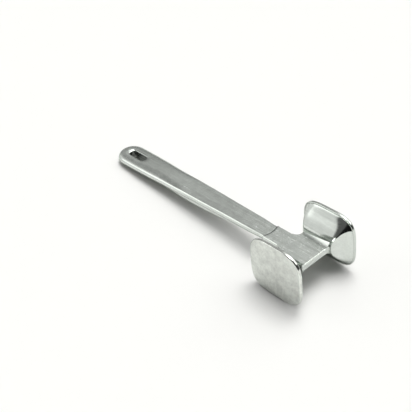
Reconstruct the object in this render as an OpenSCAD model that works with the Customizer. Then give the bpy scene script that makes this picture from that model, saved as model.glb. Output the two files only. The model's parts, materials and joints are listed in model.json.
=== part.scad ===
// Double-sided aluminium meat mallet: a cast head with two striking plates and a
// hollow two-shell handle held to the head by a tang and two dowels.
// Millimetres. Origin at the centre of the smooth plate's outer face. +X points
// from the handle to the front of the head, +Y from the smooth plate to the toothed
// plate, and +Z out of the flat top of the handle. The pieces are drawn about the
// middle of the head's web and place() then moves them to the origin.

/* [Head] */
// Width of a striking plate, along X
face_w = 50; // [44:0.5:58]
// Height of a striking plate, along Z
face_h = 47.2; // [42:0.1:56]
// Distance between the two plates' outer flat surfaces, teeth not counted
head_w = 61.7; // [56:0.1:72]
// Squareness of the plate outline: 2 is an ellipse, larger is squarer
face_square = 3.7; // [3:0.1:5]
// Thickness of a striking plate at its rim
plate_t = 2.8; // [2.2:0.1:4]
// Radius of the rounded outer edge of a striking plate
plate_edge_r = 1.1; // [0.5:0.1:1.3]
// Height of the plates' centre above the middle of the web
face_lift = 0.45; // [-1:0.05:1]
// Size of the flare where it meets its plate, as a share of the plate
flare_share = 0.935; // [0.9:0.005:0.97]
// Steepness of the flare above and below the web: smaller is steeper
flare_power = 0.55; // [0.45:0.05:0.9]
// Steepness of the flare in front of and behind the web
flare_power_x = 0.7; // [0.5:0.05:0.9]

/* [Web and neck] */
// Thickness of the web between the flares
web_t = 5.26; // [4.6:0.02:7]
// Front edge of the web, from the middle of the web
web_front = 12.3; // [10:0.1:14]
// Back edge of the web, from the middle of the web
web_back = 13.8; // [12:0.1:15]
// Half the length of the web, from its middle to the foot of a flare
web_half = 15.7; // [14:0.1:17]
// Rise of the blend between the web and a flare, at the web's front edge
ramp_rise = 3; // [1:0.1:3.5]
// Reach of that blend across the web, at the web's front edge
ramp_len = 3.8; // [2:0.1:6]
// Size of the blend at the back of the web, as a share of the front
ramp_back = 0.17; // [0.1:0.01:0.6]
// Half width of the neck collar
neck_half_w = 8.75; // [8.2:0.05:10]
// Thickness of the neck collar
neck_t = 5.6; // [5.2:0.1:7]
// Radius of the inside corners between neck and flares
neck_fillet = 5; // [2:0.5:6]

/* [Handle] */
// Length of the handle, from the joint line to the end
handle_len = 182.3; // [170:0.1:215]
// Scale of the handle's width
handle_wide = 1; // [0.95:0.01:1.15]
// Wall thickness of the handle shells
shell_t = 1.4; // [1:0.1:1.7]
// Tilt of the handle's parting plane below the web, in degrees
handle_droop = 0.53; // [0:0.01:1.2]
// Radius of the bowed joint line across the neck
joint_r = 17; // [14:0.5:40]
// Width of the crisp bevels along the front half of the handle
bevel = 0.9; // [0.5:0.1:1.1]

/* [Hanging slot] */
// End-to-end length of the slot
slot_len = 19.5; // [14:0.5:22]
// Width of the slot
slot_w = 6.9; // [5:0.1:8]
// Distance from the end of the handle to the middle of the slot
slot_from_end = 20.7; // [19.7:0.5:30]
// Depth of the dish around the slot
dish_deep = 0.8; // [0.5:0.1:2]
// How far the dish reaches beyond the slot's edge
dish_reach = 3.6; // [2:0.1:4.6]

/* [Toothed plate] */
// Distance between neighbouring teeth
tooth_pitch = 5; // [4:0.1:7]
// Height of the teeth
tooth_h = 3; // [2:0.1:5]
// Number of teeth along each side of the grid
tooth_rows = 8; // [6:1:9]

/* [Tang] */
// Width of the tang
tang_w = 9; // [7:0.5:10]
// Thickness of the tang
tang_t = 2; // [1.6:0.1:2.2]
// How far the tang reaches into the handle
tang_in_handle = 44; // [36:1:60]
// Diameter of the two dowels
dowel_d = 3; // [2:0.5:4]

/* [Hidden] */
$fn = 96;
plate_y = head_w / 2;                 // outer flat of each plate
flare_end = plate_y - plate_t;        // where a flare meets its plate
spigot_r = 5;
spigot_len = 7;                       // reach of a spigot into its flare
spigot_overlap = 0.5;                 // reach of a spigot into its plate

joint_x = -31.9;                      // middle of the bowed joint line
joint_gap = 0.28;
bow_x = joint_x - joint_r;            // centre of the joint line's bow
end_x = joint_x - handle_len;         // end of the handle
end_round = 13;                       // length of the end rounding in plan
slot_x = end_x + slot_from_end;

tang_front = -12;                     // blind end of the tang in the head
tang_back = joint_x - tang_in_handle;
key_x = -21;                          // hole in the tang, filled by a boss of the head
key_r = 2;
dowel_xs = [joint_x - 14, joint_x - 32];
dowel_len = tang_t + 1.3;
dowel_down = tang_t / 2 + 0.45;       // how far the dowels reach below the parting plane

cutter = 40;                          // oversize height of the handle's cutting bodies

// from the middle of the web to the centre of the smooth face
module place() {
    translate([0, plate_y, -face_lift]) children();
}

// tilts about the joint line, so that the handle's end drops
module droop() {
    translate([joint_x, 0, 0])
        rotate([0, -handle_droop, 0])
            translate([-joint_x, 0, 0]) children();
}

// ---- smooth lofts ----
function mix(a, b, share) = a + (b - a) * share;
function smooth(v) = v <= 0 ? 0 : v >= 1 ? 1 : v * v * (3 - 2 * v);
function signed_pow(v, power) = sign(v) * pow(abs(v), power);

// point of a superellipse with half sizes a and b; square is its squareness
function super_pt(a, b, square, angle) =
    [a * signed_pow(cos(angle), 2 / square), b * signed_pow(sin(angle), 2 / square)];

// superellipse of count points, centred on x, z at distance y to one side of the web;
// side is -1 for the smooth plate, 1 for the toothed plate
function super_ring(a, b, square, count, x, y, z, side) =
    [for (k = [0 : count - 1])
        let (p = super_pt(a, b, square, side * 360 * (k + 0.5) / count))
        [x + p[0], side * y, z + p[1]]];

// closed solid through a list of rings with the same number of points each
module loft(rings) {
    last = len(rings) - 1;
    m = len(rings[0]);
    polyhedron(
        points = [for (ring = rings) each ring],
        faces = concat(
            [[for (j = [m - 1 : -1 : 0]) j]],
            [for (i = [0 : last - 1]) for (j = [0 : m - 1])
                [i * m + j, (i + 1) * m + (j + 1) % m, (i + 1) * m + j]],
            [for (i = [0 : last - 1]) for (j = [0 : m - 1])
                [i * m + j, i * m + (j + 1) % m, (i + 1) * m + (j + 1) % m]],
            [[for (j = [0 : m - 1]) last * m + j]]));
}

// ---- head ----
flare_steps = 12;
flare_extra_square = 16;  // added squareness of a flare at its foot
flare_square_fade = 1.6;  // how quickly that fades towards the plate

web_overlap = 0.6;        // reach of the web into each flare
web_edge_cut = 0.9;       // side of the bar that bevels the web's front edges
fillet_overlap = 1;       // reach of the fillet blocks into web and neck

neck_chamfer = 0.8;
neck_past_joint = 6;      // start of the neck behind the joint line, before trimming
neck_in_web = 4;          // reach of the neck into the web
neck_sink = 0.12;         // how much thinner than the web the neck ends
neck_cutter = 20;         // oversize height of the neck's cutting body

// a superellipse's 45 degree point, as a share of its half size
function corner_share(square) = pow(0.5, 1 / square);

// flare section at u = 0 (web) to 1 (plate)
function flare_ring(u, side) =
    let (along = u * u,
         grow_z = flare_share * pow(along, flare_power),
         grow_x = flare_share * pow(along, flare_power_x),
         square = face_square + flare_extra_square * pow(1 - along, flare_square_fade),
         foot = corner_share(square),
         rim = corner_share(face_square),
         a = mix((web_front + web_back) / 2, face_w / 2 * rim, grow_x) / foot,
         b = mix(web_t / 2, face_h / 2 * rim, grow_z) / foot,
         x = (web_front - web_back) / 2 * (1 - grow_x / flare_share))
    super_ring(a, b, square, 64, x, mix(web_half, flare_end, along), face_lift * grow_z, side);

module flare(side) {
    loft([for (i = [0 : flare_steps]) flare_ring(i / flare_steps, side)]);
}

module spigot(side) {
    translate([0, side * (flare_end - spigot_len), face_lift])
        rotate([side > 0 ? -90 : 90, 0, 0])
            cylinder(r = spigot_r, h = spigot_len + spigot_overlap);
}

// octagonal neck section at x, its height scaled by tall
function neck_ring(x, tall) =
    let (w = neck_half_w, h = neck_t / 2 * tall, c = neck_chamfer, d = c * tall)
    [for (p = [[w, -h + d], [w - c, -h], [-w + c, -h], [-w, -h + d],
               [-w, h - d], [-w + c, h], [w - c, h], [w, h - d]])
        [x, p[0], p[1]]];

// neck, thinning until it runs into the web
module neck() {
    loft([
        neck_ring(joint_x - neck_past_joint, 1),
        neck_ring(joint_x, 1),
        neck_ring(-web_back + neck_in_web, (web_t - neck_sink) / neck_t)]);
}

// inside corner between the neck and the back of the web, on one side
module neck_corner(side) {
    block = neck_fillet + fillet_overlap;
    translate([0, 0, -web_t / 2])
        linear_extrude(web_t)
            difference() {
                translate([
                    -web_back - neck_fillet,
                    side > 0 ? neck_half_w - fillet_overlap : -neck_half_w - neck_fillet])
                    square([block, block]);
                translate([-web_back - neck_fillet, side * (neck_half_w + neck_fillet)])
                    circle(r = neck_fillet);
            }
}

// web with its two neck corners and bevelled front edges
module web() {
    difference() {
        union() {
            translate([-web_back, -web_half - web_overlap, -web_t / 2])
                cube([web_front + web_back, 2 * (web_half + web_overlap), web_t]);
            for (side = [-1, 1]) neck_corner(side);
        }
        for (up = [-1, 1])
            translate([web_front, 0, up * web_t / 2])
                rotate([0, 45, 0])
                    cube([web_edge_cut, 2 * head_w, web_edge_cut], center = true);
    }
}

// section of a blend at f = 0 (back of the web) to 1 (front); up is 1 above the web,
// -1 below. It is sunk 1 into the web and 0.5 into the flare.
function ramp_ring(f, side, up) =
    let (x = mix(-web_back + 0.3, web_front - 0.55, f),
         size = mix(ramp_back, 1, f),
         reach = ramp_len * size,
         rise = up * ramp_rise * size,
         z = up * web_t / 2,
         y_flare = side * (web_half + 0.5),
         y_toe = side * (web_half - reach),
         y_bend = side * (web_half - reach * 0.45),
         ring = [[x, y_flare, z - up], [x, y_toe, z - up], [x, y_toe, z],
                 [x, y_bend, z + rise * 0.33], [x, y_flare, z + rise]])
    side * up > 0 ? ring : [for (i = [4 : -1 : 0]) ring[i]];

// blend in the corner between the web and a flare, widening towards the front
module ramp(side, up) {
    loft([for (i = [0 : 4]) ramp_ring(i / 4, side, up)]);
}

// bar from the blind end in the head into the handle
module tang_bar() {
    translate([tang_back, -tang_w / 2, -tang_t / 2])
        cube([tang_front - tang_back, tang_w, tang_t]);
}

module tang_key() {
    translate([key_x, 0, -tang_t]) cylinder(r = key_r, h = 2 * tang_t);
}

module head_casting() place() color([0.76, 0.78, 0.78]) {
    difference() {
        union() {
            web();
            neck();
            for (side = [-1, 1]) {
                flare(side);
                ramp(side, 1);
                ramp(side, -1);
            }
        }
        // hollow end that takes the bowed end of the handle
        translate([bow_x, 0, -neck_cutter / 2])
            cylinder(r = joint_r + joint_gap, h = neck_cutter);
        // pocket for the tang, with the key left standing
        difference() {
            droop() tang_bar();
            droop() tang_key();
        }
        for (side = [-1, 1]) spigot(side);
    }
}

// ---- striking plates ----
inner_edge = 0.5;         // size of the small edge on a plate's flare side
inner_edge_mid = 0.15;    // inset and rise of that edge's middle ring
edge_steps = 4;

tooth_base = tooth_pitch - 0.25;
tooth_tip_r = 0.25;
tooth_sink = 0.4;         // reach of a tooth into the plate
tooth_margin = 0.4;       // from the plate's rounded edge to the tooth outline
tooth_slack = 1.12;       // limit of the outline test; 1 is exactly on the outline

// plate outline drawn in by inset, at distance y from the middle of the web
function plate_ring(inset, y, side) =
    super_ring(face_w / 2 - inset, face_h / 2 - inset, face_square, 80, 0, y, face_lift, side);

// plate with a rounded outer edge and a small inner edge
module plate_body(side) {
    r = plate_edge_r;
    loft(concat(
        [plate_ring(inner_edge, flare_end, side),
         plate_ring(inner_edge_mid, flare_end + inner_edge_mid, side),
         plate_ring(0, flare_end + inner_edge, side)],
        [for (i = [0 : edge_steps])
            let (angle = 90 * i / edge_steps)
            plate_ring(r * (1 - cos(angle)), plate_y - r + r * sin(angle), side)]));
}

module smooth_striking_plate() place() color([0.80, 0.81, 0.81]) {
    union() {
        plate_body(-1);
        spigot(-1);
    }
}

// whether the outer corner of the tooth at x, z lies within the tooth outline
function tooth_fits(x, z) =
    let (inset = plate_edge_r + tooth_margin,
         across = (abs(x) + tooth_base / 2) / (face_w / 2 - inset),
         upward = (abs(z) + tooth_base / 2) / (face_h / 2 - inset))
    pow(across, face_square) + pow(upward, face_square) <= tooth_slack;

// four-sided pyramid with a blunt tip
module tooth(x, z) {
    translate([x, plate_y - tooth_sink, z])
        rotate([-90, 0, 0])
            rotate([0, 0, 45])
                cylinder(r1 = tooth_base / sqrt(2), r2 = tooth_tip_r,
                         h = tooth_h + tooth_sink, $fn = 4);
}

module toothed_striking_plate() place() color([0.80, 0.81, 0.81]) {
    middle = (tooth_rows - 1) / 2;
    union() {
        plate_body(1);
        spigot(1);
        for (i = [0 : tooth_rows - 1]) for (j = [0 : tooth_rows - 1]) {
            x = (i - middle) * tooth_pitch;
            z = (j - middle) * tooth_pitch;
            if (tooth_fits(x, z)) tooth(x, face_lift + z);
        }
    }
}

// ---- handle ----
// stations along the handle: share of length, half width, top, bottom,
// and roundness (0 is a bevelled bar, 1 a crowned section)
stations = [
    [-0.03, 8.0, 2.65, -1.75, 0],
    [0.02, 8.1, 2.7, -1.75, 0],
    [0.10, 8.7, 2.95, -1.95, 0],
    [0.19, 9.0, 3.0, -2.4, 0],
    [0.275, 9.35, 3.0, -3.2, 0],
    [0.365, 9.9, 2.95, -4.1, 0],
    [0.455, 10.3, 2.95, -4.6, 0.1],
    [0.55, 10.9, 3.4, -4.8, 0.55],
    [0.65, 11.5, 4.0, -4.9, 0.95],
    [0.75, 12.2, 4.0, -5.4, 1],
    [0.85, 12.6, 3.8, -5.8, 1],
    [0.94, 12.7, 3.7, -6.1, 1],
    [1.03, 12.7, 3.6, -6.2, 1]];

// index of the station that starts the span used at share u
function span(u, i = 1) =
    u <= stations[i + 1][0] || i >= len(stations) - 2 ? i : span(u, i + 1);

// Catmull-Rom curve from p1 (t = 0) to p2 (t = 1)
function catmull(p0, p1, p2, p3, t) =
    0.5 * (2 * p1 + (p2 - p0) * t
        + (2 * p0 - 5 * p1 + 4 * p2 - p3) * t * t
        + (3 * p1 - p0 - 3 * p2 + p3) * t * t * t);

// [half width, top, bottom, roundness] at share u of the length
function station(u) =
    let (i = span(u), s = stations, after = min(i + 2, len(s) - 1),
         t = (u - s[i][0]) / (s[i + 1][0] - s[i][0]))
    [for (k = [1 : 4]) catmull(s[i - 1][k], s[i][k], s[i + 1][k], s[after][k], t)];

// quarter outline of a section with half sizes w and h:
// k = 0 is beside the parting plane, 9 beside the crown line
function bar_pt(k, w, h, chamfer) =
    k < 3 ? [w, (h - chamfer) * [0.4, 0.75, 1][k]] : [(w - chamfer) * (1 - (k - 3) / 7), h];
function quarter_pt(k, w, h, chamfer, round) =
    mix(bar_pt(k, w, h, chamfer), super_pt(w, h, mix(4, 2.35, round), 9 * k + 4.5), round);

// section at x, drawn in by inset and scaled by wide and tall
function section_ring(x, inset, wide, tall) =
    let (s = station((joint_x - x) / handle_len),
         w = (s[0] * handle_wide - inset) * wide,
         h = ((s[1] - s[2]) / 2 - inset) * tall,
         mid = (s[1] + s[2]) / 2,
         chamfer = min(mix(bevel, 2, s[3]), h * 0.6),
         round = mix(0.05, 1, smooth(s[3])))
    [for (k = [0 : 39])
        let (j = k < 10 ? k : k < 20 ? 19 - k : k < 30 ? k - 20 : 39 - k,
             p = quarter_pt(j, w, h, chamfer, round))
        [x, (k < 10 || k > 29 ? 1 : -1) * p[0], mid + (k < 20 ? 1 : -1) * p[1]]];

// size factor in the end rounding; e is 0 where it starts and 1 at the end
function end_scale(e, power) = pow(1 - pow(e, power), 1 / power);

// handle body from x0 back to x1, with the steps of its straight and rounded parts
module handle_loft(inset, x0, x1, steps, end_steps) {
    round_x = x1 + end_round - inset;
    loft(concat(
        [for (i = [0 : steps]) section_ring(mix(x0, round_x, i / steps), inset, 1, 1)],
        // stops just short of the tip, where the section would vanish
        [for (i = [1 : end_steps])
            let (e = sin(90 * i / end_steps) * 0.997)
            section_ring(mix(round_x, x1, e), inset, end_scale(e, 2.15), end_scale(e, 3.6))]));
}

// space above the parting plane (up = 1) or below it (up = -1)
module half_space(up) {
    droop()
        translate([end_x - cutter / 2, -cutter, up > 0 ? 0 : -cutter])
            cube([handle_len + cutter, 2 * cutter, cutter]);
}

// upright prism with round ends, centred on the slot
module slot_prism(l, w) {
    translate([slot_x, 0, -cutter / 2])
        linear_extrude(cutter) {
            for (s = [-1, 1]) translate([s * (l - w) / 2, 0]) circle(d = w);
            translate([-(l - w) / 2, -w / 2]) square([l - w, w]);
        }
}

// dished recess round the slot, widening upwards past the handle's surface
module dish() {
    l = slot_len - slot_w;
    ledge = 0.3;
    h = dish_deep + 1.2;
    r0 = slot_w / 2 + ledge;
    r1 = r0 + (dish_reach - ledge) * h / dish_deep;
    for (s = [-1, 1]) translate([s * l / 2, 0, 0]) cylinder(r1 = r0, r2 = r1, h = h);
    translate([-l / 2, 0, 0])
        rotate([90, 0, 90])
            linear_extrude(l) polygon([[-r0, 0], [r0, 0], [r1, h], [-r1, h]]);
}

module handle_form() {
    at_slot = station((handle_len - slot_from_end) / handle_len);
    bow_cut_w = 60;
    difference() {
        handle_loft(0, joint_x + 3, end_x, 22, 9);
        // bowed front end
        difference() {
            translate([bow_x, -bow_cut_w / 2, -cutter / 2])
                cube([joint_r + 20, bow_cut_w, cutter]);
            translate([bow_x, 0, -cutter / 2]) cylinder(r = joint_r, h = cutter);
        }
        // hanging slot and its dishes
        slot_prism(slot_len, slot_w);
        translate([slot_x, 0, at_slot[1] - dish_deep]) dish();
        translate([slot_x, 0, at_slot[2] + dish_deep]) mirror([0, 0, 1]) dish();
    }
}

// cavity of the handle, behind the tang
module handle_inside() {
    difference() {
        handle_loft(shell_t, tang_back - 2, end_x + shell_t, 12, 6);
        // solid wall round the slot and its dish
        slot_prism(slot_len + 2 * dish_reach, slot_w + 2 * dish_reach - 2);
    }
}

module dowel_bars(bottom, h) {
    for (x = dowel_xs) translate([x, 0, bottom]) cylinder(d = dowel_d, h = h);
}

module handle_shell(up) {
    difference() {
        intersection() {
            handle_form();
            half_space(up);
        }
        handle_inside();
        droop() {
            // tang pocket, moved back so that it opens into the cavity
            translate([-3, 0, 0]) tang_bar();
            dowel_bars(-dowel_down, dowel_len);
        }
    }
}

module handle_top_shell() place() color([0.66, 0.68, 0.67]) handle_shell(1);
module handle_bottom_shell() place() color([0.62, 0.64, 0.63]) handle_shell(-1);

// ---- tang ----
module tang() place() color([0.70, 0.71, 0.72]) {
    droop() difference() {
        tang_bar();
        tang_key();
        dowel_bars(-5, 10);
    }
}

module tang_dowels() place() color([0.55, 0.56, 0.58]) {
    droop() dowel_bars(-dowel_down, dowel_len);
}

head_casting();
smooth_striking_plate();
toothed_striking_plate();
handle_top_shell();
handle_bottom_shell();
tang();
tang_dowels();
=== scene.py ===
# Aluminium mallet with a smooth and a toothed striking face and a hollow two-shell handle.
# Row frame: origin at the centre of the smooth face, which looks to -Y; the toothed face looks
# to +Y, the handle runs to -X and +Z is up. "Front" below is the head's +X edge.
import json
import math
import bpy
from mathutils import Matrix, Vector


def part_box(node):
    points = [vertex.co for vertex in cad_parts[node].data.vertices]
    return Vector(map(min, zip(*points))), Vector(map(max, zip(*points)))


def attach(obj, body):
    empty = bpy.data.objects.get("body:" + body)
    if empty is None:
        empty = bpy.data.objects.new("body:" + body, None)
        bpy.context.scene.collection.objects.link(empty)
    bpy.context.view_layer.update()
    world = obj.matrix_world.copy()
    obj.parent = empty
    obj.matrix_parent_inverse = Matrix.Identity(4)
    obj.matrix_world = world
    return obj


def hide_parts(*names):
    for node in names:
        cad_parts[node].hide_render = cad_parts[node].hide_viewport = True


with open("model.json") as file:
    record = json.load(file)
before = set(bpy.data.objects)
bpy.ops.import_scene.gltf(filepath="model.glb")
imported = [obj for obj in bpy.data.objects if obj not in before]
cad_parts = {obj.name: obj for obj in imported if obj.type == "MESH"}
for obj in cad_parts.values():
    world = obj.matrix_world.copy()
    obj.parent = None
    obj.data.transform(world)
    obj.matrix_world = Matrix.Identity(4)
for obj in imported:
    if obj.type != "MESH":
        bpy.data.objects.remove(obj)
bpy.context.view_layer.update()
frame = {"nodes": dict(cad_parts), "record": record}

from types import SimpleNamespace

import bmesh
import bpy
import numpy as np
from mathutils import Matrix, Vector

# =============================================================================
# Sizes in millimetres. Pieces are drawn about the middle of the head's web,
# then moved to the row frame by ORIGIN.
# =============================================================================
face_lo, face_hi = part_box("smooth_striking_plate")
handle_lo, handle_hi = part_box("handle_top_shell")
SLOT_POS = next(m for m in frame["record"]["mounts"] if m["name"] == "hanging_slot")["pos_m"]

# striking plates
FACE_W = (face_hi.x - face_lo.x) * 1000
FACE_H = (face_hi.z - face_lo.z) * 1000
FACE_POWER = 3.7                 # how square the face outline is; 2 is an ellipse
FACE_LIFT = 0.45                 # face centre above the web's mid plane
PLATE_Y = SLOT_POS[1] * 1000     # from the handle's centreline to either face
PLATE_T = 2.8
EDGE_R = 1.1
FLARE_END = PLATE_Y - PLATE_T
SPIGOT_R, SPIGOT_LEN = 5.0, 7.0
ORIGIN = Vector((0.0, PLATE_Y + face_lo.y * 1000, -FACE_LIFT))

# teeth
PITCH = 5.0
TOOTH_H = 3.0
TOOTH_ROWS = 8
TOOTH_HALF = (PITCH - 0.25) / 2
TOOTH_SINK = 0.4                 # depth of the tooth's foot inside the plate

# head: flares, web between them and the blends in its corners
FLARE_SHARE = 0.935              # size of the flare's end as a share of the face
FLARE_POWER_Z, FLARE_POWER_X = 0.55, 0.7
WEB_T = 5.26
WEB_FRONT, WEB_BACK = 12.3, 13.8
WEB_HALF = 15.7                  # half the web's length in Y
WEB_BEVEL = 0.9
RAMP_RISE, RAMP_LEN = 3.0, 3.8
RAMP_BACK = 0.17                 # size of the ramp's back end as a share of its front
PIT_AT = (WEB_FRONT - 0.2, WEB_HALF + 0.25, WEB_T / 2 + 0.55)
PIT_R = 0.48

# neck and joint
JOINT_X = handle_hi.x * 1000
JOINT_R = 17.0
JOINT_GAP = 0.28                 # width of the open line between the neck and the shells
JOINT_EDGE_R = 0.05
NECK_W = 8.75                    # half width
NECK_T = 5.6
NECK_FILLET = 5.0
NECK_CHAMFER = 0.8
NECK_ROUNDING = 0.16             # reach of the rounding at each chamfer edge

# handle
END_X = handle_lo.x * 1000
HANDLE_LEN = JOINT_X - END_X
DROOP = math.radians(0.53)       # tilt of the parting plane
SHELL_T = 1.4
BEVEL = 0.9
END_ROUND = 13.0                 # length of the rounded end
CROWN_POWER = 2.35               # squareness of the rear part's section; 2 is an ellipse
PARTING_EDGE_R = 0.14
SLOT_X = SLOT_POS[0] * 1000
SLOT_LEN, SLOT_W = 19.5, 6.9
SLOT_STRAIGHT = (SLOT_LEN - SLOT_W) / 2      # half length of the slot's straight sides
DISH_DEEP, DISH_REACH = 0.8, 3.6

# tang and dowels
TANG_W, TANG_T = 9.0, 2.0
TANG_FRONT, TANG_BACK = -12.0, JOINT_X - 44
TANG_KEY_X, TANG_KEY_R = -21, 2
DOWELS = (JOINT_X - 14, JOINT_X - 32)
DOWEL_DOWN, DOWEL_UP, DOWEL_D = 1.45, 1.85, 3.0


# =============================================================================
# mesh helpers
# =============================================================================
def mesh_object(name, verts, faces):
    """Closed mesh with its normals outwards."""
    mesh = bpy.data.meshes.new(name)
    mesh.from_pydata([tuple(v) for v in verts], [], [tuple(f) for f in faces])
    work = bmesh.new()
    work.from_mesh(mesh)
    bmesh.ops.remove_doubles(work, verts=work.verts, dist=1e-5)
    bmesh.ops.recalc_face_normals(work, faces=work.faces)
    if work.calc_volume(signed=True) < 0:
        bmesh.ops.reverse_faces(work, faces=work.faces)
    work.to_mesh(mesh)
    work.free()
    ob = bpy.data.objects.new(name, mesh)
    bpy.context.scene.collection.objects.link(ob)
    return ob


def loft(name, rings, caps=None):
    """Skin over equal rings of points; each end gets one polygon unless caps are given."""
    rings = np.asarray(rings, float)
    count, size = rings.shape[:2]
    faces = []
    for i in range(count - 1):
        for j in range(size):
            here, beside = i * size + j, i * size + (j + 1) % size
            faces.append((here, beside, beside + size, here + size))
    if caps is None:
        caps = [tuple(range(size))[::-1], tuple(range((count - 1) * size, count * size))]
    return mesh_object(name, rings.reshape(-1, 3), faces + caps)


def boolean(target, others, operation):
    """Applies the operation with each of the others, which are removed."""
    for other in others:
        modifier = target.modifiers.new("boolean", "BOOLEAN")
        modifier.operation, modifier.solver, modifier.object = operation, "MANIFOLD", other
    depsgraph = bpy.context.evaluated_depsgraph_get()
    depsgraph.update()
    mesh = bpy.data.meshes.new_from_object(target.evaluated_get(depsgraph))
    if len(mesh.polygons) == 0:
        raise RuntimeError("boolean on %s came out empty" % target.name)
    target.modifiers.clear()
    old = target.data
    target.data = mesh
    bpy.data.meshes.remove(old)
    for other in others:
        old = other.data
        bpy.data.objects.remove(other)
        bpy.data.meshes.remove(old)
    return target


def block(name, low, high):
    (x0, y0, z0), (x1, y1, z1) = low, high
    verts = [(x, y, z) for x in (x0, x1) for y in (y0, y1) for z in (z0, z1)]
    faces = [(0, 1, 3, 2), (4, 6, 7, 5), (0, 4, 5, 1), (2, 3, 7, 6), (0, 2, 6, 4), (1, 5, 7, 3)]
    return mesh_object(name, verts, faces)


def prism(name, outline, z0, z1):
    """Straight prism in Z over an XY outline."""
    return loft(name, [[(x, y, z) for x, y in outline] for z in (z0, z1)])


def circle(x, y, radius, count):
    return [(x + radius * math.cos(a), y + radius * math.sin(a))
            for a in np.linspace(0, 2 * math.pi, count, endpoint=False)]


def spigot(side, beyond):
    """Round rod in Y on the face's axis, ending this far beyond the flare's end."""
    outline = circle(0, FACE_LIFT, SPIGOT_R, 96)
    ends = (side * (FLARE_END - SPIGOT_LEN), side * (FLARE_END + beyond))
    return loft("spigot", [[(x, y, z) for x, z in outline] for y in ends])


def slot_prism(name, length, width):
    """Tall obround prism round the hanging slot's centre."""
    centre, radius = (length - width) / 2, width / 2
    half = [(centre + radius * math.cos(a), radius * math.sin(a))
            for a in np.linspace(-math.pi / 2, math.pi / 2, 48)]
    outline = half + [(-x, -y) for x, y in half]
    return prism(name, [(SLOT_X + x, y) for x, y in outline], -20, 20)


def drooped(ob):
    """Tilts a piece with the handle's parting plane."""
    ob.data.transform(Matrix.Translation((JOINT_X, 0, 0)) @ Matrix.Rotation(-DROOP, 4, "Y")
                      @ Matrix.Translation((-JOINT_X, 0, 0)))
    return ob


def tang_space(back_clearance=0):
    """Block the size of the tang, longer at its back by the clearance."""
    return drooped(block("tang_space", (TANG_BACK - back_clearance, -TANG_W / 2, -TANG_T / 2),
                         (TANG_FRONT, TANG_W / 2, TANG_T / 2)))


def to_row(ob, sharp_degrees):
    """Moves to the row frame in metres, smooth shaded with crisp edges kept."""
    ob.data.transform(Matrix.Scale(0.001, 4) @ Matrix.Translation(ORIGIN))
    ob.data.polygons.foreach_set("use_smooth", [True] * len(ob.data.polygons))
    ob.data.set_sharp_from_angle(angle=math.radians(sharp_degrees))
    ob.data.update()
    weighted = ob.modifiers.new("face_weighted", "WEIGHTED_NORMAL")
    weighted.mode, weighted.weight, weighted.keep_sharp = "FACE_AREA", 50, True
    return ob


def mix(start, end, share):
    return start + (end - start) * share


def smooth(share):
    share = np.clip(share, 0, 1)
    return share * share * (3 - 2 * share)


def smooth_min(first, second, width):
    return -width * np.logaddexp(-first / width, -second / width)


def quadratic(start, corner, end, t):
    """Bezier arc that rounds a corner."""
    return (1 - t) ** 2 * start + 2 * t * (1 - t) * corner + t ** 2 * end


def quadrants(count):
    """Angles round a squarish outline, closest together at its corners."""
    v = (np.arange(count) + 0.5) / count * 2 - 1
    quarter = math.pi / 4 * (1 + np.sign(v) * np.abs(v) ** 1.5)
    return np.concatenate([quarter + k * math.pi / 2 for k in range(4)])


def squarish(half_x, half_z, power, angles):
    """Superellipse points at the given angles."""
    cos, sin = np.cos(angles), np.sin(angles)
    radius = (np.abs(cos) ** power + np.abs(sin) ** power) ** (-1 / power)
    return half_x * cos * radius, half_z * sin * radius


# =============================================================================
# head casting
# =============================================================================
def flare(side):
    """Horn that grows from the web's section to the face outline."""
    angles = quadrants(56)
    web_half_x = (WEB_FRONT + WEB_BACK) / 2
    face_corner = 0.5 ** (1 / FACE_POWER)
    rings = []
    for u in np.linspace(0, 1, 72) ** 1.15:
        along = u * u
        grow_z = FLARE_SHARE * along ** FLARE_POWER_Z
        grow_x = FLARE_SHARE * along ** FLARE_POWER_X
        power = FACE_POWER + 16 * (1 - along) ** 1.6
        corner = 0.5 ** (1 / power)
        centre_x = (WEB_FRONT - WEB_BACK) / 2 * (1 - grow_x / FLARE_SHARE)
        half_x = mix(web_half_x, FACE_W / 2 * face_corner, grow_x) / corner
        half_z = mix(WEB_T / 2, FACE_H / 2 * face_corner, grow_z) / corner
        y = mix(WEB_HALF, FLARE_END, along)
        x, z = squarish(half_x, half_z, power, angles)
        rings.append(np.stack([centre_x + x, np.full_like(x, side * y), FACE_LIFT * grow_z + z], 1))
    return loft("flare", rings)


def web():
    """Flat plate between the flares with a rounded-off bevel along its front edge."""
    half = WEB_T / 2
    leg = WEB_BEVEL / math.sqrt(2)
    before, past = 0.12, 0.06        # reach of the rounding on each side of a bevel edge
    lower = [(-WEB_BACK, -half), (WEB_FRONT - leg - before, -half),
             (WEB_FRONT - leg + past, -half + past), (WEB_FRONT - past, -half + leg - past),
             (WEB_FRONT, -half + leg + before)]
    profile = lower + [(x, -z) for x, z in lower[::-1]]
    ends = (-WEB_HALF - 0.6, WEB_HALF + 0.6)
    return loft("web", [[(x, y, z) for x, z in profile] for y in ends])


def fillet(side):
    """Rounded inside corner between the neck and a flare, in plan."""
    radius = NECK_FILLET
    x, y = -WEB_BACK - radius, side * (NECK_W + radius)
    arc = [(x + radius * math.cos(a), y - side * radius * math.sin(a))
           for a in np.linspace(0, math.pi / 2, 40)]
    inner_y = side * (NECK_W - 1)
    outline = arc + [(x, inner_y), (-WEB_BACK + 1, inner_y), (-WEB_BACK + 1, y)]
    return prism("fillet", outline, -WEB_T / 2, WEB_T / 2)


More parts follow.
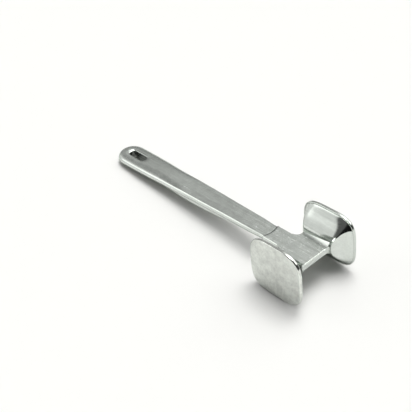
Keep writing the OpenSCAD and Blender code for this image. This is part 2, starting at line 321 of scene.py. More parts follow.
def ramp(side, up):
    """Blend in the corner between the web and a flare, widening towards the front."""
    z = up * WEB_T / 2
    rings = []
    for f in np.linspace(0, 1, 9):
        x = mix(-WEB_BACK + 0.3, WEB_FRONT - 0.55, f)
        share = mix(RAMP_BACK, 1, f)
        y_root = side * (WEB_HALF + 0.5)
        y_toe = side * (WEB_HALF - RAMP_LEN * share)
        y_bend = side * (WEB_HALF - RAMP_LEN * share * 0.45)
        rings.append([(x, y_root, z - up), (x, y_toe, z - up), (x, y_toe, z),
                      (x, y_bend, z + up * RAMP_RISE * share * 0.33),
                      (x, y_root, z + up * RAMP_RISE * share)])
    return loft("ramp", rings)


def neck_section(inset):
    """Octagonal outline (Y, Z) with rounded chamfer edges."""
    width, height = NECK_W - inset, NECK_T / 2 - inset
    chamfer, reach = NECK_CHAMFER, NECK_ROUNDING
    slant = reach / math.sqrt(2)
    t = np.linspace(0, 1, 6)[:, None]
    corner_z, corner_y = height - chamfer, width - chamfer
    quarter = np.concatenate([
        [(width, v) for v in np.linspace(0.08, height - chamfer - reach - 0.1, 8)],
        quadratic(np.array((width, corner_z - reach)), np.array((width, corner_z)),
                  np.array((width - slant, corner_z + slant)), t),
        quadratic(np.array((corner_y + slant, height - slant)), np.array((corner_y, height)),
                  np.array((corner_y - reach, height)), t),
        [(v, height) for v in np.linspace(width - chamfer - reach - 0.3, 0.12, 44)]])
    return np.concatenate([quarter, (quarter * [-1, 1])[::-1], quarter * [-1, -1],
                           (quarter * [1, -1])[::-1]])


def neck():
    """Octagonal collar with a hollow, bowed back end whose edge has a small radius."""
    def bowed_x(section):
        return JOINT_X - JOINT_R + np.sqrt((JOINT_R + JOINT_GAP) ** 2 - section[:, 0] ** 2)

    rings = []
    for t in np.linspace(0, math.pi / 2, 5):
        section = neck_section(JOINT_EDGE_R * (1 - math.sin(t)))
        x = bowed_x(section) + JOINT_EDGE_R * (1 - math.cos(t))
        rings.append(np.column_stack([x, section]))
    section = neck_section(0)
    x = bowed_x(section) + JOINT_EDGE_R
    for f in np.linspace(0.08, 1, 12):
        thin = mix(1.0, (WEB_T - 0.12) / NECK_T, f)
        rings.append(np.column_stack([mix(x, -WEB_BACK + 4, f), section[:, 0],
                                      section[:, 1] * thin]))
    count, size = len(rings), len(section)
    # bowed back face as strips between the upper and lower edges
    caps = [(j, size - 1 - j, size - 2 - j, j + 1) for j in range(size // 2 - 1)]
    caps.append(tuple(range((count - 1) * size, count * size)))
    return loft("neck", rings, caps)


def pit():
    """Small ball that leaves a pit at the front end of the web, on the toothed side."""
    x, y, z = PIT_AT
    return loft("pit", [[(px, py, z + PIT_R * math.cos(a))
                         for px, py in circle(x, y, PIT_R * math.sin(a), 24)]
                        for a in np.linspace(0, math.pi, 13)[1:-1]])


def cast_head():
    head = flare(-1)
    head.name = "cast_head"
    parts = [web(), flare(1), neck()] + [fillet(side) for side in (-1, 1)]
    parts += [ramp(side, up) for side in (-1, 1) for up in (-1, 1)]
    boolean(head, parts, "UNION")
    pocket = tang_space()
    key = circle(TANG_KEY_X, 0, TANG_KEY_R, 64)
    boolean(pocket, [drooped(prism("key", key, -TANG_T * 2, TANG_T * 2))], "DIFFERENCE")
    boolean(head, [pocket] + [spigot(side, 2) for side in (-1, 1)] + [pit()], "DIFFERENCE")
    return to_row(head, 24)


# =============================================================================
# striking plates
# =============================================================================
# (inset from the outline, Y) from the back of the plate to the middle of its face
PLATE_LEVELS = [(9.0, FLARE_END), (4.0, FLARE_END), (1.6, FLARE_END), (0.7, FLARE_END),
                (0.5, FLARE_END), (0.32, FLARE_END + 0.06), (0.15, FLARE_END + 0.18),
                (0.04, FLARE_END + 0.34), (0.0, FLARE_END + 0.55), (0.0, PLATE_Y - EDGE_R - 0.3)]
PLATE_LEVELS += [(EDGE_R * (1 - math.cos(t)), PLATE_Y - EDGE_R + EDGE_R * math.sin(t))
                 for t in np.linspace(0, math.pi / 2, 14)]
PLATE_LEVELS += [(EDGE_R + inset, PLATE_Y)
                 for inset in (0.25, 0.8, 1.8, 3.5, 6.0, 9.0, 12.5, 16.5, 20.5)]

# (share of the height, half width, corner cut) from foot to tip
TOOTH_LEVELS = ((0.0, TOOTH_HALF + 0.02, 0.0),
                (TOOTH_SINK / (TOOTH_SINK + TOOTH_H), TOOTH_HALF * 0.885, 0.04),
                (0.97, 0.27, 0.08), (1.0, 0.18, 0.06))


def tooth(x, z):
    """Four-sided pyramid with slightly broken ridges and a small flat top."""
    rings = []
    for share, half, cut in TOOTH_LEVELS:
        y = PLATE_Y - TOOTH_SINK + share * (TOOTH_H + TOOTH_SINK)
        short = half - (min(cut, half * 0.4) + 1e-3)
        ring = [(half, short), (short, half), (-short, half), (-half, short),
                (-half, -short), (-short, -half), (short, -half), (half, -short)]
        rings.append([(x + dx, y, z + dz) for dx, dz in ring])
    return loft("tooth", rings)


def teeth():
    """Square grid of teeth, leaving out those that pass the face's edge."""
    half_x, half_z = FACE_W / 2 - EDGE_R - 0.4, FACE_H / 2 - EDGE_R - 0.4
    places = [(i - (TOOTH_ROWS - 1) / 2) * PITCH for i in range(TOOTH_ROWS)]
    return [tooth(x, FACE_LIFT + z) for x in places for z in places
            if ((abs(x) + TOOTH_HALF) / half_x) ** FACE_POWER
            + ((abs(z) + TOOTH_HALF) / half_z) ** FACE_POWER <= 1.12]


def plate(name, side, extra=()):
    """Plate with a spigot on its back and any extra pieces joined on."""
    angles = quadrants(64)
    rings = []
    for inset, y in PLATE_LEVELS:
        x, z = squarish(FACE_W / 2 - inset, FACE_H / 2 - inset, FACE_POWER, angles)
        rings.append(np.stack([x, np.full_like(x, side * y), FACE_LIFT + z], 1))
    return to_row(boolean(loft(name, rings), [spigot(side, 0.5), *extra], "UNION"), 30)


# =============================================================================
# handle shells
# =============================================================================
# share of the length from the joint, half width, top Z, bottom Z, roundness (0 bar, 1 round)
STATIONS = np.array([
    [-0.03, 8.0, 2.65, -1.75, 0], [0.02, 8.1, 2.7, -1.75, 0], [0.10, 8.7, 2.95, -1.95, 0],
    [0.19, 9.0, 3.0, -2.4, 0], [0.275, 9.35, 3.0, -3.2, 0], [0.365, 9.9, 2.95, -4.1, 0],
    [0.455, 10.3, 2.95, -4.6, 0.1], [0.55, 10.9, 3.4, -4.8, 0.55],
    [0.65, 11.5, 4.0, -4.9, 0.95], [0.75, 12.2, 4.0, -5.4, 1], [0.85, 12.6, 3.8, -5.8, 1],
    [0.94, 12.7, 3.7, -6.1, 1], [1.03, 12.7, 3.6, -6.2, 1]])


def station_at(x):
    """Half width, top, bottom and roundness at x, by a Catmull-Rom curve."""
    share, last = (JOINT_X - x) / HANDLE_LEN, len(STATIONS) - 1
    i = 1
    while share > STATIONS[i + 1][0] and i < last - 1:
        i += 1
    p0, p1, p2, p3 = (STATIONS[min(k, last)] for k in range(i - 1, i + 3))
    t = (share - p1[0]) / (p2[0] - p1[0])
    return (0.5 * ((2 * p1) + (p2 - p0) * t + (2 * p0 - 5 * p1 + 4 * p2 - p3) * t ** 2
                   + (3 * p1 - p0 - 3 * p2 + p3) * t ** 3))[1:]


SLOT_STATION = station_at(SLOT_X)


def bar(steps, width, height, chamfer):
    """Side, 45 degree bevel and flat top, with the two bevel edges slightly rounded."""
    knots = np.array([-0.5, 0, 1, 2, 3, 9, 9.5])
    knots_y = np.array([width, width, width, width, width - chamfer, (width - chamfer) / 7, 0.0])
    side = height - chamfer
    knots_z = np.array([0, 0.4 * side, 0.75 * side, side, height, height, height])
    y, z = np.interp(steps, knots, knots_y), np.interp(steps, knots, knots_z)
    reach = 0.22
    for edge in (2.0, 3.0):
        t = np.clip((steps - edge + reach) / (2 * reach), 0, 1)
        inside = (steps > edge - reach) & (steps < edge + reach)
        for values, table in ((y, knots_y), (z, knots_z)):
            start, corner, end = np.interp([edge - reach, edge, edge + reach], knots, table)
            values[inside] = quadratic(start, corner, end, t)[inside]
    return y, z


def half_section(steps, station, inset=0.0, scale_w=1.0, scale_h=1.0):
    """Half outline on the +Y side; steps run from -10.5 at the keel to 9.5 at the crown."""
    half_w, top, bottom, roundness = station
    width, mid = (half_w - inset) * scale_w, (top + bottom) / 2
    height = ((top - bottom) / 2 - inset) * scale_h
    chamfer = min(mix(BEVEL, 2, roundness), height * 0.6)
    blend = mix(0.05, 1, float(smooth(roundness)))
    upper = steps >= -0.5
    folded = np.where(upper, steps, -1 - steps)
    bar_y, bar_z = bar(folded, width, height, chamfer)
    angle = np.radians(np.clip(9 * folded + 4.5, 0, 90))
    power = mix(4, CROWN_POWER, blend)
    round_y = width * np.cos(angle) ** (2 / power)
    round_z = height * np.sin(angle) ** (2 / power)
    return mix(bar_y, round_y, blend), mid + np.where(upper, 1, -1) * mix(bar_z, round_z, blend)


def dished(x, y, z, side):
    """Pulls the surface in to the dish round the hanging slot."""
    gap = np.hypot(np.maximum(np.abs(x - SLOT_X) - SLOT_STRAIGHT, 0), y) - SLOT_W / 2
    slope = DISH_DEEP / (DISH_REACH - 0.3)
    surface = side * SLOT_STATION[1 if side > 0 else 2]
    lip = 0.35 * np.clip(1 - gap / 0.7, 0, 1.3) ** 2
    cone = surface - DISH_DEEP + (gap - 0.3) * slope - lip
    return side * smooth_min(side * z, cone, 0.14)


def end_taper(share):
    """Width and height left at this share of the rounded end."""
    return (1 - share ** 2.15) ** (1 / 2.15), (1 - share ** 3.6) ** (1 / 3.6)


# steps where the point spacing changes, from the parting edge to the crown or the keel
STEP_STOPS = {1: (1.6, 3.4, 9.38), -1: (-2.6, -4.4, -10.38)}


def shell_ring(side, x, inset=0.0, scale_w=1.0, scale_h=1.0, bow=0.0):
    """Closed ring of a shell: the outer curve, then back along the parting plane."""
    station = station_at(x)
    shape = (station, inset, scale_w, scale_h)
    mid = (station[1] + station[2]) / 2
    height = ((station[1] - station[2]) / 2 - inset) * scale_h
    parting = (x - JOINT_X) * math.tan(DROOP)
    parting = min(max(parting, mid - 0.8 * height), mid + 0.8 * height)
    # round the edge at the parting plane
    side_steps = np.linspace(-4.0, 3.0, 900)
    _, side_z = half_section(side_steps, *shape)
    radius = min(PARTING_EDGE_R, 0.3 * height)
    turn = np.linspace(0, math.pi / 2, 5)
    rise, pull = radius * (1 - np.cos(turn)), radius * (1 - np.sin(turn))
    edge = np.interp(parting + side * rise, side_z, side_steps)
    near, bevel, far = STEP_STOPS[side]
    steps = np.concatenate([edge, np.linspace(edge[-1], near, 14)[1:],
                            np.linspace(near, bevel, 26)[1:], np.linspace(bevel, far, 46)[1:]])
    y, z = half_section(steps, *shape)
    y[:5] -= np.minimum(pull, 0.5 * y[:5])
    z[:5] = parting + side * np.minimum(rise, 0.5 * height)
    y, z = np.concatenate([y, -y[::-1]]), np.concatenate([z, z[::-1]])
    x = x + bow * (np.sqrt(JOINT_R ** 2 - y ** 2) - JOINT_R)
    outer = np.column_stack([x, y, dished(x, y, z, side)])
    flat = np.column_stack([x, y, np.full_like(y, parting)])[::-1][1:-1]
    return np.concatenate([outer, flat])


def half_handle(name, side):
    """Solid upper (1) or lower (-1) half of the handle."""
    rings = []
    for t in np.linspace(0, math.pi / 2, 6):
        rings.append(shell_ring(side, JOINT_X - JOINT_EDGE_R * (1 - math.cos(t)),
                                inset=JOINT_EDGE_R * (1 - math.sin(t)), bow=1.0))
    round_x, dish_x = END_X + END_ROUND, SLOT_X + 17
    stops = [JOINT_X - 0.6, JOINT_X - 1.2, *np.linspace(JOINT_X - 2, JOINT_X - 124, 62),
             *np.linspace(JOINT_X - 124, dish_x, 16)[1:],
             *np.linspace(dish_x, round_x, int((dish_x - round_x) / 0.4))[1:]]
    for x in stops:
        rings.append(shell_ring(side, x, bow=1 - float(smooth((JOINT_X - x) / 9.0))))
    for i in range(1, 45):
        share = math.sin(math.pi / 2 * i / 44) * 0.9996
        scale_w, scale_h = end_taper(share)
        rings.append(shell_ring(side, mix(round_x, END_X, share),
                                scale_w=scale_w, scale_h=scale_h))
    count, size = len(rings), len(rings[0])
    # end faces as strips between the curved and the flat side, triangles where they meet
    caps = [tuple(dict.fromkeys((base + j, base + j + 1, base + size - j - 1,
                                 base + (size - j) % size)))
            for base in (0, (count - 1) * size) for j in range(size // 2)]
    return loft(name, rings, caps)


def cavity():
    """Hollow of the handle, leaving a solid post round the hanging slot."""
    front, end = TANG_BACK - 2, END_X + SHELL_T
    round_x = end + END_ROUND - SHELL_T
    steps = np.concatenate([np.linspace(-10.38, -0.6, 30), np.linspace(-0.4, 9.38, 30)])

    def ring(x, scale_w=1.0, scale_h=1.0):
        y, z = half_section(steps, station_at(x), SHELL_T, scale_w, scale_h)
        return np.column_stack([np.full(2 * len(steps), x), np.concatenate([y, -y[::-1]]),
                                np.concatenate([z, z[::-1]])])

    rings = [ring(x) for x in np.linspace(front, round_x, 30)]
    for i in range(1, 13):
        share = math.sin(math.pi / 2 * i / 12) * 0.995
        rings.append(ring(mix(round_x, end, share), *end_taper(share)))
    body = loft("cavity", rings)
    post = slot_prism("post", SLOT_LEN + 2 * DISH_REACH, SLOT_W + 2 * DISH_REACH - 2)
    return boolean(body, [post], "DIFFERENCE")


def shell(name, side):
    ob = half_handle(name, side)
    slot = slot_prism("slot", SLOT_LEN, SLOT_W)
    cuts = [cavity(), slot, tang_space(back_clearance=3)]
    for x in DOWELS:
        hole = circle(x, 0, DOWEL_D / 2, 48)
        cuts.append(drooped(prism("dowel_hole", hole, -DOWEL_DOWN, DOWEL_UP)))
    return to_row(boolean(ob, cuts, "DIFFERENCE"), 30)


head = cast_head()
smooth_plate = plate("smooth_striking_face", -1)
toothed_plate = plate("toothed_striking_face", 1, teeth())
top_shell = shell("handle_top", 1)
bottom_shell = shell("handle_bottom", -1)


# =============================================================================
# shader graph helpers
# =============================================================================
class Graph:
    """Builds a node tree; wherever a value is taken, a socket is linked instead."""

    def __init__(self, tree):
        self.tree = tree
        tree.nodes.clear()

    def feed(self, socket, value):
        if hasattr(value, "links"):
            self.tree.links.new(value, socket)
        else:
            socket.default_value = value

    def new(self, kind, inputs=None, **properties):
        node = self.tree.nodes.new(kind)
        for key, value in properties.items():
            setattr(node, key, value)
        for key, value in (inputs or {}).items():
            self.feed(node.inputs[key], value)
        return node

    def math(self, operation, *values):
        inputs = dict(enumerate(values))
        return self.new("ShaderNodeMath", inputs, operation=operation).outputs[0]

    def vector(self, operation, inputs):
        return self.new("ShaderNodeVectorMath", inputs, operation=operation).outputs

    def axes(self, point):
        return self.new("ShaderNodeSeparateXYZ", {0: point}).outputs

    def hypot(self, a, b):
        squares = self.math("ADD", self.math("MULTIPLY", a, a), self.math("MULTIPLY", b, b))
        return self.math("SQRT", squares)

    def darken(self, value, amount):
        return self.math("MULTIPLY", value, self.math("SUBTRACT", 1.0, amount))

    def ramp(self, value, over, to=(0.0, 1.0), kind="SMOOTHSTEP"):
        """Maps the range 'over' to the range 'to'."""
        inputs = {"Value": value, "From Min": over[0], "From Max": over[1],
                  "To Min": to[0], "To Max": to[1]}
        return self.new("ShaderNodeMapRange", inputs, interpolation_type=kind).outputs[0]

    def blend(self, factor, first, second):
        inputs = {"Factor": factor, "A": first, "B": second}
        return self.new("ShaderNodeMix", inputs, data_type="FLOAT").outputs["Result"]

    def noise(self, point, scale, detail, rough, stretch=(1, 1, 1), offset=(0, 0, 0), distort=0.0):
        mapped = self.new("ShaderNodeMapping",
                          {"Vector": point, "Scale": stretch, "Location": offset})
        inputs = {"Vector": mapped.outputs[0], "Scale": scale, "Detail": detail,
                  "Roughness": rough, "Distortion": distort}
        return self.new("ShaderNodeTexNoise", inputs).outputs["Fac"]

    def bump(self, height, strength, distance, normal):
        inputs = {"Strength": strength, "Distance": distance, "Height": height, "Normal": normal}
        return self.new("ShaderNodeBump", inputs).outputs[0]


def surface(name):
    """New material with a principled shader."""
    material = bpy.data.materials.new(name)
    material.use_nodes = True
    graph = Graph(material.node_tree)
    output = graph.new("ShaderNodeOutputMaterial")
    shader = graph.new("ShaderNodeBsdfPrincipled")
    graph.feed(output.inputs["Surface"], shader.outputs[0])
    return material, graph, shader


# =============================================================================
# metals
# =============================================================================
def metal_patterns(graph, point, brush, brush_scale, seed):
    """Noise fields in millimetres: brush lines, wide streaks, clouds, patches, grain, pores."""
    a, b, c = seed, seed * 1.7, seed * 0.6
    main = graph.noise(point, scale=brush_scale, detail=2.5, rough=0.55,
                       stretch=brush, offset=(a, b, c))
    coarse = graph.noise(point, scale=brush_scale * 0.42, detail=2, rough=0.5,
                         stretch=brush, offset=(a + 5, b, c + 3), distort=0.1)
    lines = graph.math("ADD", graph.math("MULTIPLY", main, 0.65),
                       graph.math("MULTIPLY", coarse, 0.35))
    return SimpleNamespace(
        lines=lines,
        wide=graph.noise(point, scale=0.20, detail=3, rough=0.55, offset=(c, a, b),
                         stretch=(brush[0] * 0.4, brush[1], brush[2]), distort=0.2),
        cloud=graph.noise(point, scale=0.16, detail=4, rough=0.55, offset=(b, a, 2.0)),
        patch=graph.noise(point, scale=0.55, detail=3, rough=0.5, offset=(a * 2, 4.0, c)),
        fine=graph.noise(point, scale=3.4, detail=3, rough=0.6, offset=(1.0, a, b)),
        pores=graph.noise(point, scale=1.15, detail=2, rough=0.5, offset=(7.0 + a, 1.0, 3.0)))


def metal_tone(graph, pattern, mottle, brush_amount, broad, specks, crease_shade, reach):
    """Brightness factor round 1."""
    def swing(field, amount):
        return graph.ramp(field, over=(0.3, 0.7), to=(-amount, amount))

    tone = graph.math("ADD", swing(pattern.cloud, 0.05 * mottle),
                      swing(pattern.patch, 0.035 * mottle))
    lines = graph.ramp(pattern.lines, over=(0.25, 0.75), kind="LINEAR",
                       to=(-0.15 * brush_amount, 0.14 * brush_amount))
    tone = graph.math("ADD", tone, lines)
    tone = graph.math("ADD", tone, swing(pattern.wide, 0.07 * broad))
    pores = graph.ramp(pattern.pores, over=(0.70, 0.78), to=(0.0, 0.16 * specks))
    tone = graph.math("SUBTRACT", tone, pores)
    # painted shade in creases: darker where ambient occlusion finds surfaces close by
    hollow = graph.new("ShaderNodeAmbientOcclusion", {"Distance": reach / 1000}, samples=6)
    painted_shade_in_creases = graph.ramp(hollow.outputs["AO"], over=(0.30, 0.85), to=(-0.42 * crease_shade, 0.0))
    return graph.math("ADD", graph.math("ADD", tone, painted_shade_in_creases), 1.0)


def paint_joint_shade(graph, point, tone):
    """Painted shade: a black band, wider than the open gap, along the line between the neck and the
    handle.
    """
    axes = graph.axes(point)
    dx = graph.math("SUBTRACT", axes["X"], JOINT_X - JOINT_R)
    dy = graph.math("SUBTRACT", axes["Y"], PLATE_Y)
    radius = graph.hypot(dx, dy)
    gap = graph.math("ABSOLUTE", graph.math("SUBTRACT", radius, JOINT_R + JOINT_GAP / 2))
    neck_line_shade = graph.ramp(gap, over=(JOINT_GAP / 2 + 0.10, JOINT_GAP / 2 + 0.38), to=(0.92, 0.0))
    near = graph.ramp(axes["X"], over=(JOINT_X - 14, JOINT_X - 12))
    return graph.darken(tone, graph.math("MULTIPLY", neck_line_shade, near))


def paint_seam_and_slot_shade(graph, point, tone):
    """Painted shade: black in the parting line along the handle's sides, and a darker wall inside
    the slot.
    """
    axes = graph.axes(point)
    behind = graph.math("SUBTRACT", axes["X"], JOINT_X)
    level = graph.math("MULTIPLY", behind, math.tan(DROOP))
    height = graph.math("ADD", graph.math("SUBTRACT", axes["Z"], level), FACE_LIFT)
    shade_parting_line = graph.ramp(graph.math("ABSOLUTE", height), over=(0.10, 0.26), to=(0.85, 0.0))
    tone = graph.darken(tone, shade_parting_line)
    dx = graph.math("ABSOLUTE", graph.math("SUBTRACT", axes["X"], SLOT_X))
    dx = graph.math("MAXIMUM", graph.math("SUBTRACT", dx, SLOT_STRAIGHT), 0.0)
    dy = graph.math("SUBTRACT", axes["Y"], PLATE_Y)
    slot_wall_shade = graph.ramp(graph.hypot(dx, dy), over=(SLOT_W / 2 + 0.12, SLOT_W / 2 + 0.4),
                      to=(0.62, 0.0))
    return graph.darken(tone, slot_wall_shade)


def distance_from_web(graph, point):
    """Distance in Y from the middle of the head."""
    return graph.math("ABSOLUTE", graph.math("SUBTRACT", graph.axes(point)["Y"], PLATE_Y))


def edge_wear(graph, rounded):
    """1 on edges, where the rounded normal leaves the true one."""
    normal = graph.new("ShaderNodeNewGeometry").outputs["Normal"]
    match = graph.vector("DOT_PRODUCT", {0: rounded, 1: normal})["Value"]
    return graph.ramp(match, over=(0.86, 0.995), to=(1.0, 0.0))


def metal_roughness(graph, point, pattern, rough, brush_amount, worn, polished, rim):
    """Roughness, and the mask of the polished flares where there is one."""
    def shine(value):
        return graph.ramp(pattern.patch, over=(0.3, 0.7), to=(value, value * 1.5))

    base = graph.math("ADD", graph.math("MULTIPLY", pattern.cloud, 0.5),
                      graph.math("MULTIPLY", pattern.patch, 0.5))
    result = graph.ramp(base, over=(0.34, 0.66), to=rough)
    lines = graph.ramp(pattern.lines, over=(0.32, 0.68),
                       to=(-0.05 * brush_amount, 0.07 * brush_amount))
    result = graph.math("ADD", result, lines)
    flare_mask = None
    if polished is not None:
        flare_mask = graph.ramp(distance_from_web(graph, point),
                                over=(WEB_HALF - 0.3, WEB_HALF + 0.6))
        result = graph.blend(flare_mask, result, shine(polished))
    if rim is not None:
        depth = graph.math("SUBTRACT", PLATE_Y, distance_from_web(graph, point))
        result = graph.blend(graph.ramp(depth, over=(0.02, 0.12)), result, shine(rim))
    # edges are rubbed smoother
    result = graph.math("SUBTRACT", result, graph.math("MULTIPLY", worn, 0.045))
    return graph.math("MAXIMUM", result, 0.06), flare_mask


def metal_relief(graph, pattern, rounded, flare_mask, brush_amount, grain, mottle, broad):
    """Brush lines, fine tooth and slow swell; distances in metres."""
    strength = 0.12 * brush_amount
    if flare_mask is not None:
        strength = graph.math("MULTIPLY", graph.math("SUBTRACT", 1.0, flare_mask), strength)
    normal = graph.bump(pattern.lines, strength=strength, distance=0.000012, normal=rounded)
    normal = graph.bump(pattern.fine, strength=0.5 * grain, distance=0.00001, normal=normal)
    swell = graph.math("ADD", pattern.patch, graph.math("MULTIPLY", pattern.cloud, 1.5))
    if broad:
        swell = graph.math("ADD", graph.math("MULTIPLY", swell, 0.4),
                           graph.math("MULTIPLY", pattern.wide, 4.0 * broad))
    return graph.bump(swell, strength=min(1.0, 0.6 * mottle), distance=0.00005, normal=normal)


def metal(name, base, rough, brush, brush_amount, seed, brush_scale=2.2, mottle=0.3, grain=0.5,
          crease_shade=0.5, specks=0.3, polished=None, broad=0.0, rim=None, reach=1.1,
          shade_joint_line=False, shade_parting_line=False):
    """Brushed metal; sizes are in millimetres.

    base, rough: colour, and roughness from low to high
    brush, brush_amount, brush_scale: line density by axis, their strength and fineness
    mottle, grain: variation over several millimetres, and fine tooth
    broad, specks: strength of wide streaks and of dark pores
    crease_shade, reach: strength of the painted shade in creases, and how far it reaches
    polished, rim: roughness of the flares, and of a plate behind its face
    shade_joint_line, shade_parting_line: paint shade into the neck joint line, and into the parting
    line and the slot's wall
    """
    material, graph, shader = surface(name)
    shader.inputs["Metallic"].default_value = 1.0
    # oxide film: duller at grazing angles
    shader.inputs["Specular Tint"].default_value = (0.42, 0.43, 0.42, 1)
    metres = graph.new("ShaderNodeTexCoord").outputs["Object"]
    point = graph.vector("SCALE", {0: metres, "Scale": 1000.0})[0]
    pattern = metal_patterns(graph, point, brush, brush_scale, seed)
    tone = metal_tone(graph, pattern, mottle, brush_amount, broad, specks, crease_shade, reach)
    # painted shade in the neck joint line, the parting line and the slot's wall
    if shade_joint_line:
        tone = paint_joint_shade(graph, point, tone)
    if shade_parting_line:
        tone = paint_seam_and_slot_shade(graph, point, tone)
    colour = graph.vector("SCALE", {0: base, "Scale": tone})[0]
    rounded = graph.new("ShaderNodeBevel", {"Radius": 0.00022}, samples=6).outputs[0]
    worn = edge_wear(graph, rounded)
    roughness, flare_mask = metal_roughness(graph, point, pattern, rough, brush_amount, worn,
                                            polished, rim)
    normal = metal_relief(graph, pattern, rounded, flare_mask, brush_amount, grain, mottle, broad)
    graph.feed(shader.inputs["Base Color"], colour)
    graph.feed(shader.inputs["Roughness"], roughness)
    graph.feed(shader.inputs["Normal"], normal)
    return material


ALUMINIUM = (0.673, 0.71, 0.674)
# brushed along X
BRUSHED = dict(base=ALUMINIUM, brush=(0.022, 1, 1), brush_scale=1.9, grain=0.25, shade_joint_line=True)
HANDLE = dict(BRUSHED, brush_amount=0.54, mottle=0.75, specks=0.0, crease_shade=0.8, shade_parting_line=True)
PLATE = dict(brush=(0.6, 1, 1), brush_scale=1.2, crease_shade=0.9, reach=2.2)
METALS = {
    "cast_head": dict(BRUSHED, name="cast_aluminium", rough=(0.21, 0.25), brush_amount=0.6,
                      mottle=0.5, seed=1.3, crease_shade=0.9, reach=1.6, polished=0.085, broad=0.25),
    "plate_smooth": dict(PLATE, name="smooth_face_aluminium", base=(0.715, 0.738, 0.70),
                         rough=(0.30, 0.42), brush_amount=0.15, mottle=2.0, grain=0.25,
                         seed=4.1, specks=0.8, rim=0.07),
    "plate_toothed": dict(PLATE, name="toothed_face_aluminium", base=ALUMINIUM,
                          rough=(0.28, 0.36), brush_amount=0.2, mottle=0.6, grain=0.3,
                          seed=6.2, rim=0.08),
    "handle_top": dict(HANDLE, name="handle_top_aluminium", rough=(0.19, 0.24), seed=2.7,
                       broad=0.7),
    "handle_bottom": dict(HANDLE, name="handle_bottom_aluminium", rough=(0.20, 0.25), seed=3.3,
                          broad=0.5),
    "tang": dict(name="tang_aluminium", base=(0.72, 0.73, 0.74), rough=(0.3, 0.45),
                 brush=(1, 0.06, 1), brush_amount=0.8, seed=5.5),
    "dowels": dict(name="dowel_steel", base=(0.56, 0.57, 0.58), rough=(0.25, 0.375),
                   brush=(1, 1, 0.08), brush_amount=0.8, seed=8.5),
}
materials = {slot_name: metal(**settings) for slot_name, settings in METALS.items()}

for ob, slot_name, node in ((head, "cast_head", "head_casting"),
                            (smooth_plate, "plate_smooth", "smooth_striking_plate"),
                            (toothed_plate, "plate_toothed", "toothed_striking_plate"),
                            (top_shell, "handle_top", "handle_top_shell"),
                            (bottom_shell, "handle_bottom", "handle_bottom_shell")):
    ob.data.materials.clear()
    ob.data.materials.append(materials[slot_name])
    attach(ob, "root")
    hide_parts(node)
for node, slot_name in (("tang", "tang"), ("tang_dowels", "dowels")):
    ob = frame["nodes"][node]
    if not ob.material_slots:
        ob.data.materials.append(materials[slot_name])
    for material_slot in ob.material_slots:
        material_slot.material = materials[slot_name]


# =============================================================================
# floor, light and camera, in metres
# =============================================================================
FLOOR_NORMAL = Vector((0.0865, 0.0, 0.9963)).normalized()
FLOOR_POINT = Vector((-0.0103, 0.03085, -0.0234))
FLOOR_HALF = 6.0

# Soft patches of light. Each row adds its patch or dims by it; of two patches the stronger counts.
# patch: bearing from +X towards +Y, height above the horizon, angle of full strength,
# angle where it ends (all in degrees), amount
LIGHT_PATCHES = (
    ("add", (104, 75, 14, 20, 9.0)),                                  # overhead softbox
    ("add", (88, 50, 16, 32, 1.0)),                                   # panel towards +Y
    ("add", (-155, 22, 17, 31, 0.46), (-128, 8, 14, 26, 0.46)),       # panel on camera left
    ("add", (-136, 38, 10, 17, 0.85)),                                # bright spot above it
    ("dim", (172, 56, 8, 24, 0.38)),                                  # gap towards -X
    ("dim", (-75, 20, 41.0, 42.6, 0.76)),                             # unlit camera side
    ("dim", (-50, 8, 12, 42, 0.80)),                                  # low, below the camera
    ("dim", (-10, 15, 40, 62, 0.85)),                                 # unlit side towards +X
    ("add", (40, 40, 8, 15, 1.6)),                                    # small patch, camera right
)

CAMERA_AT = Vector((0.35284, -0.33842, 0.43595))
CAMERA_RIGHT = Vector((0.67674, 0.73008, -0.09486))
CAMERA_UP = Vector((-0.39311, 0.46728, 0.79190))
CAMERA_BACK = Vector((0.62248, -0.49862, 0.60324))
LENS_MM = 78.6407767


def floor_paper():
    """Matt paper with painted light: it glows a little where nothing is close by, which lightens
    its shadows away from the mallet.
    """
    material, graph, shader = surface("floor_paper")
    near = graph.new("ShaderNodeAmbientOcclusion", {"Distance": 0.03}, samples=12)
    painted_floor_light = graph.ramp(near.outputs["AO"], over=(0.40, 0.72), to=(0.0, 0.20))
    for key, value in {"Roughness": 0.9, "Metallic": 0.0, "Specular IOR Level": 0.0,
                       "Base Color": (0.62, 0.62, 0.61, 1), "Emission Strength": painted_floor_light,
                       "Emission Color": (1.0, 1.0, 0.99, 1)}.items():
        graph.feed(shader.inputs[key], value)
    return material


def add_floor():
    mesh = bpy.data.meshes.new("studio_floor")
    tangent = FLOOR_NORMAL.orthogonal().normalized()
    other = FLOOR_NORMAL.cross(tangent)
    corners = [FLOOR_POINT + tangent * (FLOOR_HALF * a) + other * (FLOOR_HALF * b)
               for a, b in ((-1, -1), (1, -1), (1, 1), (-1, 1))]
    mesh.from_pydata(corners, [], [(0, 1, 2, 3)])
    floor = bpy.data.objects.new("studio_floor", mesh)
    bpy.context.scene.collection.objects.link(floor)
    floor.data.materials.append(floor_paper())


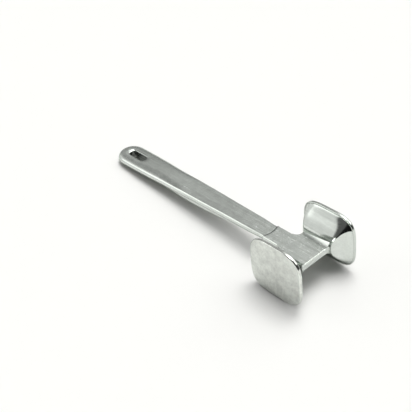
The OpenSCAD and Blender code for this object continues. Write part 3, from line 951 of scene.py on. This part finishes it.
def add_world():
    world = bpy.data.worlds.new("studio")
    bpy.context.scene.world = world
    world.use_nodes = True
    graph = Graph(world.node_tree)
    output = graph.new("ShaderNodeOutputWorld")
    background = graph.new("ShaderNodeBackground", {"Color": (1.0, 1.0, 0.985, 1)})
    graph.feed(output.inputs["Surface"], background.outputs[0])
    generated = graph.new("ShaderNodeTexCoord").outputs["Generated"]
    view = graph.vector("NORMALIZE", {0: generated})[0]

    def facing(direction):
        return graph.vector("DOT_PRODUCT", {0: view, 1: Vector(direction).normalized()})["Value"]

    def lobe(bearing, height, full, end, amount):
        turn, rise = math.radians(bearing), math.radians(height)
        direction = (math.cos(turn) * math.cos(rise), math.sin(turn) * math.cos(rise),
                     math.sin(rise))
        cosines = (math.cos(math.radians(end)), math.cos(math.radians(full)))
        return graph.ramp(facing(direction), over=cosines, to=(0.0, amount))

    light = graph.ramp(facing(FLOOR_NORMAL), over=(-0.05, 0.75), to=(0.34, 0.50))
    for effect, *patches in LIGHT_PATCHES:
        amount = lobe(*patches[0])
        for patch in patches[1:]:
            amount = graph.math("MAXIMUM", amount, lobe(*patch))
        if effect == "add":
            light = graph.math("ADD", light, amount)
        else:
            light = graph.darken(light, amount)
    light = graph.math("MAXIMUM", light, 0.01)
    # the camera sees a pale backdrop past the floor's end
    seen = graph.new("ShaderNodeLightPath").outputs["Is Camera Ray"]
    graph.feed(background.inputs["Strength"], graph.blend(seen, light, 0.93))
    world.cycles.sampling_method = "MANUAL"
    world.cycles.sample_map_resolution = 512


def add_camera():
    data = bpy.data.cameras.new("camera")
    camera = bpy.data.objects.new("camera", data)
    scene = bpy.context.scene
    scene.collection.objects.link(camera)
    turn = Matrix((CAMERA_RIGHT, CAMERA_UP, CAMERA_BACK)).transposed()
    camera.matrix_world = Matrix.Translation(CAMERA_AT) @ turn.to_4x4()
    data.sensor_width = 36.0
    data.sensor_fit = "AUTO"
    data.lens = LENS_MM
    data.clip_start, data.clip_end = 0.01, 50
    scene.camera = camera
    scene.view_settings.view_transform = "Standard"
    scene.view_settings.look = "None"
    scene.view_settings.exposure = 0.0
    scene.view_settings.gamma = 1.0


add_floor()
add_world()
add_camera()

bpy.context.view_layer.update()
